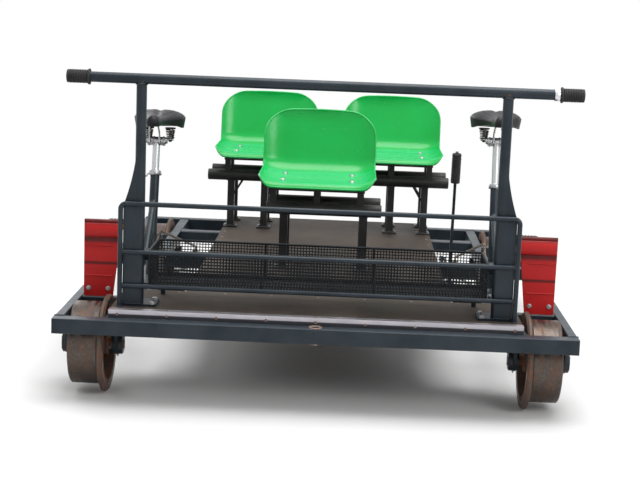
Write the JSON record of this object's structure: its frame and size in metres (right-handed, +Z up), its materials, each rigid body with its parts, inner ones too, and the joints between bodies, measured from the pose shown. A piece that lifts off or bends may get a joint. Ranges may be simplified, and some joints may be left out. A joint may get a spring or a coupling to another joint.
{
  "type": "pedal rail bike",
  "caption": "Open pedal-driven rail bike: flanged steel wheels under a tube frame with a deck, pedal stations with chain drive at both sides, handlebar, luggage basket and moulded seats.",
  "frame": {"origin": "middle of the outline on the floor under the wheel flanges", "axes": "+X across the track to the riders' left, +Z up, the front looks along -Y"},
  "size_m": [1.692, 2.14, 1.0745],
  "materials": {
    "green_black_paint": "worn semi-gloss paint",
    "steel_worn": "turned steel with rust, polished tread",
    "deck_board": "dark film-faced board with grit",
    "edge_metal": "scuffed",
    "black_rubber": "matt",
    "wire_zinc": "dark coated wire",
    "red_paint": "semi-gloss paint",
    "silver_alloy": "satin",
    "saddle_vinyl": "satin black vinyl",
    "crank_black": "satin black, worn edges",
    "pedal_plastic": "ribbed",
    "chain_steel": "oiled",
    "black_paint": "semi-gloss",
    "green_plastic": "moulded, lightly scratched",
    "shoe_iron": "rusty"
  },
  "bodies": {
    "frame": {"basket_floor": "wire_zinc", "basket_rest": "green_black_paint", "basket_walls": "wire_zinc", "brake_lever": "green_black_paint", "brake_rod": "green_black_paint", "brake_shaft": "green_black_paint", "brake_shoes": "shoe_iron", "chain_left": "chain_steel", "chain_right": "chain_steel", "deck_centre": "deck_board", "deck_edge": "edge_metal", "deck_front": "deck_board", "frame_bay_tubes": "green_black_paint", "frame_cross_tubes": "green_black_paint", "frame_front_beam": "green_black_paint", "frame_inner_tubes": "green_black_paint", "frame_rear_beam": "green_black_paint", "frame_side_tubes": "green_black_paint", "grips": "black_rubber", "guards": "red_paint", "handlebar": "green_black_paint", "hangers_front": "green_black_paint", "hangers_rear": "green_black_paint", "luggage_hoop": "green_black_paint", "pedal_station_left": "green_black_paint", "pedal_station_right": "green_black_paint", "post_left": "green_black_paint", "post_right": "green_black_paint", "saddle_left": "saddle_vinyl", "saddle_right": "saddle_vinyl", "seat_bearers": "black_paint", "seat_cross_tubes": "black_paint", "seat_legs": "black_paint", "seat_post_left": "silver_alloy", "seat_post_right": "silver_alloy", "seat_shell_front": "green_plastic", "seat_shell_rear_left": "green_plastic", "seat_shell_rear_right": "green_plastic"},
    "running_front_left": {"wheel_front_left": "steel_worn", "axle_front_left": "steel_worn"},
    "running_front_right": {"wheel_front_right": "steel_worn", "axle_front_right": "steel_worn"},
    "running_rear_left": {"wheel_rear_left": "steel_worn", "axle_rear_left": "steel_worn", "sprocket_left": "steel_worn"},
    "running_rear_right": {"wheel_rear_right": "steel_worn", "axle_rear_right": "steel_worn", "sprocket_right": "steel_worn"},
    "crank_left": {"crankset_left": "crank_black"},
    "left_inner_pedal": {"pedal_left_inner": "pedal_plastic"},
    "left_outer_pedal": {"pedal_left_outer": "pedal_plastic"},
    "crank_right": {"crankset_right": "crank_black"},
    "right_inner_pedal": {"pedal_right_inner": "pedal_plastic"},
    "right_outer_pedal": {"pedal_right_outer": "pedal_plastic"}
  },
  "joints": [
    {"name": "wheel_front_left_spin", "type": "hinge", "parent": "frame", "child": "running_front_left", "pos_m": [-0.759, -0.866, 0.162], "axis": [1, 0, 0], "continuous": true},
    {"name": "wheel_front_right_spin", "type": "hinge", "parent": "frame", "child": "running_front_right", "pos_m": [0.759, -0.866, 0.162], "axis": [1, 0, 0], "continuous": true},
    {"name": "wheel_rear_left_spin", "type": "hinge", "parent": "frame", "child": "running_rear_left", "pos_m": [-0.759, 0.774, 0.162], "axis": [1, 0, 0], "continuous": true},
    {"name": "wheel_rear_right_spin", "type": "hinge", "parent": "frame", "child": "running_rear_right", "pos_m": [0.759, 0.774, 0.162], "axis": [1, 0, 0], "continuous": true},
    {"name": "crank_left_spin", "type": "hinge", "parent": "frame", "child": "crank_left", "pos_m": [-0.632, -0.45, 0.39], "axis": [1, 0, 0], "continuous": true},
    {"name": "pedal_left_inner_spin", "type": "hinge", "parent": "crank_left", "child": "left_inner_pedal", "pos_m": [-0.512, -0.6001, 0.31019], "axis": [1, 0, 0], "continuous": true},
    {"name": "pedal_left_outer_spin", "type": "hinge", "parent": "crank_left", "child": "left_outer_pedal", "pos_m": [-0.752, -0.2999, 0.46981], "axis": [1, 0, 0], "continuous": true},
    {"name": "crank_right_spin", "type": "hinge", "parent": "frame", "child": "crank_right", "pos_m": [0.632, -0.45, 0.39], "axis": [1, 0, 0], "continuous": true},
    {"name": "pedal_right_inner_spin", "type": "hinge", "parent": "crank_right", "child": "right_inner_pedal", "pos_m": [0.512, -0.6001, 0.31019], "axis": [1, 0, 0], "continuous": true},
    {"name": "pedal_right_outer_spin", "type": "hinge", "parent": "crank_right", "child": "right_outer_pedal", "pos_m": [0.752, -0.2999, 0.46981], "axis": [1, 0, 0], "continuous": true}
  ]
}
